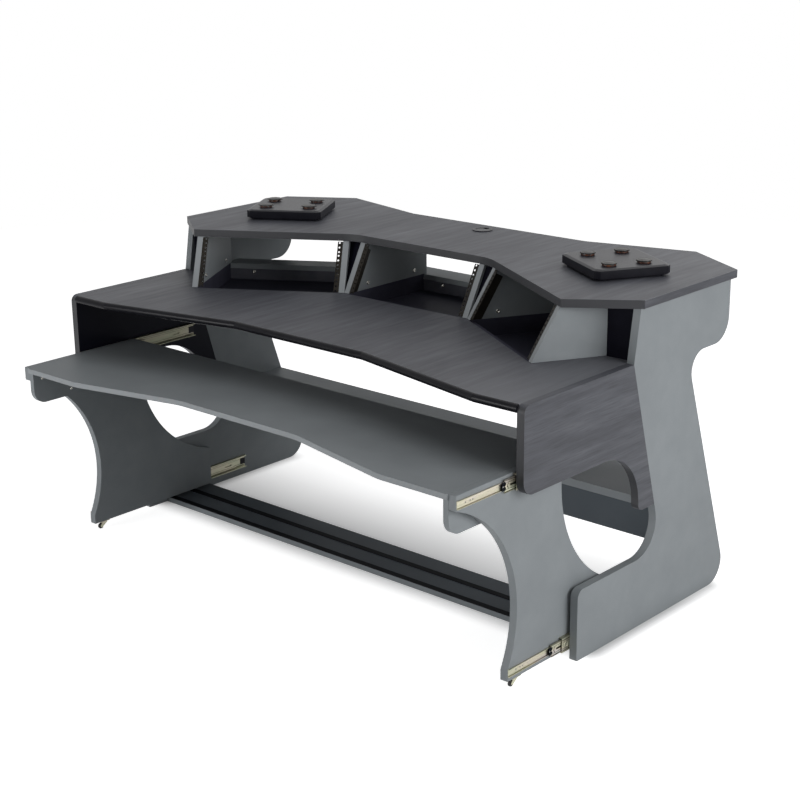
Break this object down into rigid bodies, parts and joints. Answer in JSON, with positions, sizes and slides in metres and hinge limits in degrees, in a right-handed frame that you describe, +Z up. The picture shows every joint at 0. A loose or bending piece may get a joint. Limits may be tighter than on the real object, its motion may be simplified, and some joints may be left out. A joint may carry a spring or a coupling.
{
  "type": "studio desk",
  "caption": "Studio desk with leaning rack bays under a raised shelf, a keyboard tray on telescopic slides and castors, a cable grommet and loudspeaker isolation pads.",
  "frame": {"origin": "middle of the overall box, on the floor under it", "axes": "+X to the sitter's right, +Y away from the sitter, +Z up"},
  "size_m": [1.922, 1.396, 1.053],
  "materials": {
    "dark_wood": "open-pored dark grain, satin",
    "grey_board": "grey laminated board, satin",
    "black_board": "black laminated board, matte",
    "black_steel": "black powder coat",
    "zinc_steel": "pale yellow zinc",
    "nickel": "nickel plated",
    "black_trim": "black, glossy",
    "black_plastic": "black, fine grain",
    "puck_rubber": "amber core under a black cap",
    "strip_rubber": "black, matte",
    "wheel_plastic": "black, hard"
  },
  "bodies": {
    "desk": {"cheek_left": "dark_wood", "cheek_right": "dark_wood", "desktop": "dark_wood", "top_shelf": "dark_wood", "side_panel_left": "grey_board", "side_panel_right": "grey_board", "rack_side_left_outer": "grey_board", "rack_side_left_inner": "grey_board", "rack_side_centre_left": "grey_board", "rack_side_centre_right": "grey_board", "rack_side_right_inner": "grey_board", "rack_side_right_outer": "grey_board", "rack_ledges": "grey_board", "cable_shelf": "grey_board", "stretcher": "grey_board", "floor_rail": "grey_board", "rack_well_left": "black_board", "rack_well_centre": "black_board", "rack_well_right": "black_board", "rack_back_left": "black_board", "rack_back_centre": "black_board", "rack_back_right": "black_board", "wedge_fillers": "black_board", "niche_panels": "black_board", "rack_rails_left": "black_steel", "rack_rails_centre": "black_steel", "rack_rails_right": "black_steel", "slide_outer_upper_left": "zinc_steel", "slide_outer_upper_right": "zinc_steel", "slide_outer_lower_left": "zinc_steel", "slide_outer_lower_right": "zinc_steel", "rack_screws": "nickel", "desk_bumper": "black_trim", "slide_end_caps": "black_plastic", "grommet_ring": "black_plastic", "pad_tray_left": "black_plastic", "pad_tray_right": "black_plastic", "pad_pucks": "puck_rubber", "floor_rail_strips": "strip_rubber"},
    "slide_carriages": {"slide_carriage_upper_left": "zinc_steel", "slide_carriage_upper_right": "zinc_steel", "slide_carriage_lower_left": "zinc_steel", "slide_carriage_lower_right": "zinc_steel", "slide_stops": "black_plastic"},
    "keyboard_tray": {"keyboard_shelf": "grey_board", "tray_leg_left": "grey_board", "tray_leg_right": "grey_board", "tray_bracket_left": "grey_board", "tray_bracket_right": "grey_board", "slide_runner_upper_left": "zinc_steel", "slide_runner_upper_right": "zinc_steel", "slide_runner_lower_left": "zinc_steel", "slide_runner_lower_right": "zinc_steel", "castor_plates": "zinc_steel", "tray_screws": "nickel"},
    "castor_left": {"castor_fork_left": "zinc_steel"},
    "castor_right": {"castor_fork_right": "zinc_steel"},
    "wheel_left": {"castor_wheel_left": "wheel_plastic"},
    "wheel_right": {"castor_wheel_right": "wheel_plastic"},
    "cable_cap": {"grommet_cap": "black_plastic"}
  },
  "joints": [
    {"name": "carriage_slide", "type": "slide", "parent": "desk", "child": "slide_carriages", "axis": [0, -1, 0], "range_m": [-0.0464, 0.2036]},
    {"name": "tray_slide", "type": "slide", "parent": "slide_carriages", "child": "keyboard_tray", "axis": [0, -1, 0], "range_m": [-0.1856, 0.0644]},
    {"name": "castor_swivel_left", "type": "hinge", "parent": "keyboard_tray", "child": "castor_left", "pos_m": [-0.8998, -0.431, 0.025], "axis": [0, 0, 1], "continuous": true},
    {"name": "wheel_spin_left", "type": "hinge", "parent": "castor_left", "child": "wheel_left", "pos_m": [-0.8998, -0.443, 0.01], "axis": [1, 0, 0], "continuous": true},
    {"name": "castor_swivel_right", "type": "hinge", "parent": "keyboard_tray", "child": "castor_right", "pos_m": [0.8998, -0.431, 0.025], "axis": [0, 0, 1], "continuous": true},
    {"name": "wheel_spin_right", "type": "hinge", "parent": "castor_right", "child": "wheel_right", "pos_m": [0.8998, -0.443, 0.01], "axis": [1, 0, 0], "continuous": true},
    {"name": "cable_cap_turn", "type": "hinge", "parent": "desk", "child": "cable_cap", "pos_m": [0, 0.536, 1.007], "axis": [0, 0, 1], "continuous": true}
  ]
}
